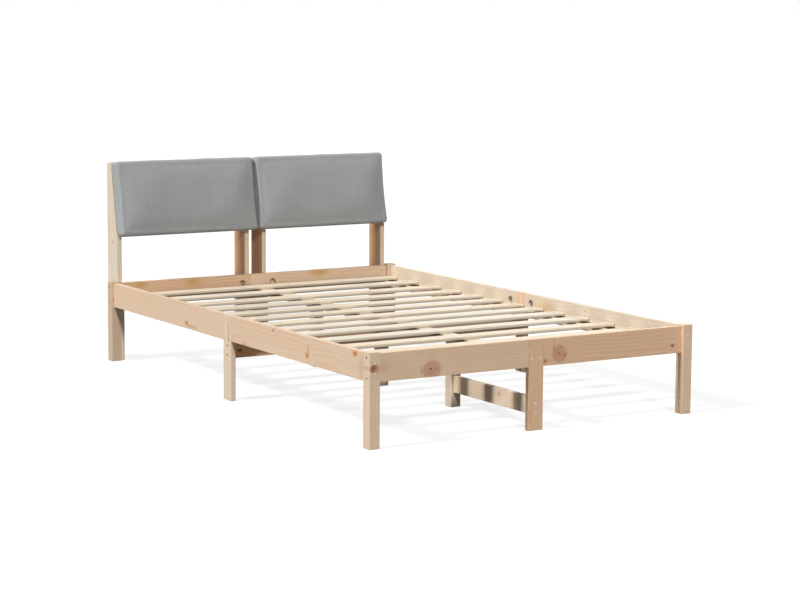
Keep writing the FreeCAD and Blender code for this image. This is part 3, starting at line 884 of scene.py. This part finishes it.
def pucker(cushion, look, inner, outer, seed):
    """Small waves where the cover is pulled round the edges, fading towards the middle."""
    for vertex in cushion.data.vertices:
        place = vertex.co
        from_side = min(place.x - inner, outer - place.x)
        from_end = min(place.z, look.height - place.z)
        near = fading(min(from_side, from_end), WAVE_REACH)
        deep = place.y * WAVE_SCALE_DEEP
        wave = noise_at(place.x * WAVE_SCALE + seed, deep, place.z * WAVE_SCALE)
        slack = noise_at(place.x * SLACK_SCALE + seed, 3.0, place.z * SLACK_SCALE)
        front = clamped((-place.y - PUCKER_START) / PUCKER_GROWTH)
        vertex.co.y -= (WAVE_HEIGHT * wave * near + SLACK_HEIGHT * slack) * front
        bow = math.sin(math.pi * clamped(place.z / look.height)) * fading(from_side, BOW_REACH)
        inward = 1 if place.x < (inner + outer) / 2 else -1
        vertex.co.x += inward * look.side_bow * bow * front
        hem = HEM_HEIGHT * noise_at(place.x * HEM_SCALE + seed, 5.0, 0.5 + place.z)
        vertex.co.z += hem * fading(from_end, HEM_REACH) * front


def cut_pocket(cushion, look, inner, outer):
    """Cuts the room for the backing board, and the window in the back that shows it."""
    border = look.board_border - look.rest_gap
    board_back = -(look.rest_gap + look.wrap_thickness)
    board_front = board_back - look.board_thickness - look.rest_gap
    spans = (
        (
            (inner + border, outer - border),
            (board_front, board_back),
            (border, look.height - border),
        ),
        (
            (inner + look.wrap, outer - look.wrap),
            (board_back - look.wrap_thickness, look.wrap_thickness),
            (look.wrap, look.height - look.wrap),
        ),
    )
    for number, span in enumerate(spans):
        deselect_all()
        size = [high - low for low, high in span]
        centre = [(low + high) / 2 for low, high in span]
        bpy.ops.mesh.primitive_cube_add(size=1, location=centre, scale=size)
        cutter = bpy.context.object
        settle(cutter)
        modifier = cushion.modifiers.new("pocket %d" % number, "BOOLEAN")
        modifier.operation = "DIFFERENCE"
        modifier.solver = "EXACT"
        modifier.object = cutter
        apply_modifier(cushion, modifier.name)
        bpy.data.objects.remove(cutter)


def make_cushion(look, side, sign, cloth):
    """One cushion, from the parting to its outer post, swollen, puckered and leaned back."""
    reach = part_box("right_outer_post")[1].x
    inner, outer = sorted((sign * look.parting / 2, sign * reach))
    cushion = rough_cushion(side + "_headboard_cushion", look, inner, outer)
    remesh(cushion, look.voxel)
    puff_up(cushion, look, inner, outer)
    subdivision = cushion.modifiers.new("smooth", "SUBSURF")
    subdivision.levels = 1
    subdivision.render_levels = 1
    apply_modifier(cushion, subdivision.name)
    pucker(cushion, look, inner, outer, PUCKER_SEED * sign)
    cut_pocket(cushion, look, inner, outer)
    cushion.matrix_world = cushion_place(look, side + "_backing_board")
    settle(cushion)
    bpy.ops.object.shade_smooth_by_angle(angle=math.radians(40))
    cushion.data.materials.clear()
    cushion.data.materials.append(cloth)
    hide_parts(side + "_cushion")
    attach(cushion, "root")


class BED_OT_cushions(bpy.types.Operator):
    """Model the headboard cushions, swollen by a cloth simulation, and lean them on the posts"""

    bl_idname = "bed.cushions"
    bl_label = "Model the cushions"

    def execute(self, context):
        look = settings("fabric")
        colours = (look.cover, look.cover_dark)
        threads = (look.thread_pitch, look.weave_depth, (look.lean, 0, 0))
        cloth = weave_material("grey cover", *colours, *threads, roughness=0.86, sheen=0.25)
        for side, sign in SIDES:
            make_cushion(look, side, sign, cloth)
        return {"FINISHED"}


class BED_OT_stage(bpy.types.Operator):
    """Set the pale floor, the soft studio light and the camera"""

    bl_idname = "bed.stage"
    bl_label = "Set the stage"

    def execute(self, context):
        look = settings("stage")
        add_floor(look)
        add_world(look)
        for name, width, way in LAMPS:
            add_lamp(name + " lamp", getattr(look, name), width * look.softness, way)
        add_camera(look)
        context.scene.view_settings.view_transform = "Standard"
        return {"FINISHED"}


def seen_ray(tree):
    """1 for rays that the camera, a mirror or a pane of glass sends out."""
    rays = add_node(tree, "ShaderNodeLightPath").outputs
    seen = maths(tree, "MAXIMUM", rays["Is Camera Ray"], rays["Is Glossy Ray"])
    return maths(tree, "MAXIMUM", seen, rays["Is Transmission Ray"])


def add_floor(look):
    deselect_all()
    drop = 0.0005
    bpy.ops.mesh.primitive_plane_add(size=60, location=(0, 0, -drop))
    floor = bpy.context.object
    floor.name = "studio_floor"
    material = bpy.data.materials.new("studio floor")
    material.use_nodes = True
    tree = material.node_tree
    tree.nodes.clear()
    diffuse = add_node(tree, "ShaderNodeBsdfDiffuse", {"Color": (*look.floor, 1)})
    strength = maths(tree, "MULTIPLY", seen_ray(tree), look.floor_lift)
    glow = add_node(tree, "ShaderNodeEmission", {"Color": (1, 1, 1, 1), "Strength": strength})
    both = add_node(tree, "ShaderNodeAddShader", {0: diffuse.outputs[0], 1: glow.outputs[0]})
    add_node(tree, "ShaderNodeOutputMaterial", {"Surface": both.outputs[0]})
    floor.data.materials.append(material)


def add_world(look):
    world = bpy.data.worlds.new("studio")
    bpy.context.scene.world = world
    world.use_nodes = True
    tree = world.node_tree
    tree.nodes.clear()
    seen = seen_ray(tree)
    strength = maths(tree, "MULTIPLY_ADD", seen, 1 - look.ambient, look.ambient)
    tint = mix_colour(tree, seen, tuple(look.ambient_tint), (1, 1, 1))
    glow = add_node(tree, "ShaderNodeBackground", {"Color": tint, "Strength": strength})
    add_node(tree, "ShaderNodeOutputWorld", {"Surface": glow.outputs[0]})


def add_lamp(name, level, softness, way):
    """A far, soft lamp that lights a white face turned to it by the given level."""
    lamp = bpy.data.lights.new(name, "SUN")
    lamp.energy = level * math.pi
    lamp.angle = softness
    thing = bpy.data.objects.new(name, lamp)
    bpy.context.scene.collection.objects.link(thing)
    thing.matrix_world = Vector(way).to_track_quat("Z", "Y").to_matrix().to_4x4()


def add_camera(look):
    lens = bpy.data.cameras.new("camera")
    lens.lens = look.lens
    lens.sensor_width = 36
    camera = bpy.data.objects.new("camera", lens)
    bpy.context.scene.collection.objects.link(camera)
    camera.matrix_world = (
        Matrix.Translation(look.eye)
        @ Matrix.Rotation(look.heading, 4, "Z")
        @ Matrix.Rotation(math.pi / 2 + look.pitch, 4, "X")
        @ Matrix.Rotation(look.roll, 4, "Z")
    )
    bpy.context.scene.camera = camera


class BED_PT_panel(bpy.types.Panel):
    """Lists the steps that finish the bed frame"""

    bl_idname = "BED_PT_panel"
    bl_label = "Bed frame"
    bl_space_type = "VIEW_3D"
    bl_region_type = "UI"
    bl_category = "Bed frame"

    def draw(self, context):
        for operator in OPERATORS:
            self.layout.operator(operator.bl_idname)
        for name, group in SETTINGS:
            box = self.layout.box()
            box.label(text=name.capitalize())
            for key in group.__annotations__:
                box.prop(settings(name), key)


SETTINGS = (
    ("timber", BedTimberSettings),
    ("fabric", BedFabricSettings),
    ("fittings", BedFittingSettings),
    ("stage", BedStageSettings),
)
OPERATORS = (
    BED_OT_pine,
    BED_OT_slats,
    BED_OT_boards,
    BED_OT_fittings,
    BED_OT_cushions,
    BED_OT_stage,
)


def register():
    for name, group in SETTINGS:
        bpy.utils.register_class(group)
        setattr(bpy.types.Scene, "bed_" + name, PointerProperty(type=group))
    for operator in OPERATORS:
        bpy.utils.register_class(operator)
    bpy.utils.register_class(BED_PT_panel)


def unregister():
    bpy.utils.unregister_class(BED_PT_panel)
    for operator in reversed(OPERATORS):
        bpy.utils.unregister_class(operator)
    for name, group in reversed(SETTINGS):
        delattr(bpy.types.Scene, "bed_" + name)
        bpy.utils.unregister_class(group)


def main():
    register()
    bpy.ops.bed.pine()
    bpy.ops.bed.slats()
    bpy.ops.bed.boards()
    bpy.ops.bed.fittings()
    bpy.ops.bed.cushions()
    bpy.ops.bed.stage()


if __name__ == "__main__":
    main()
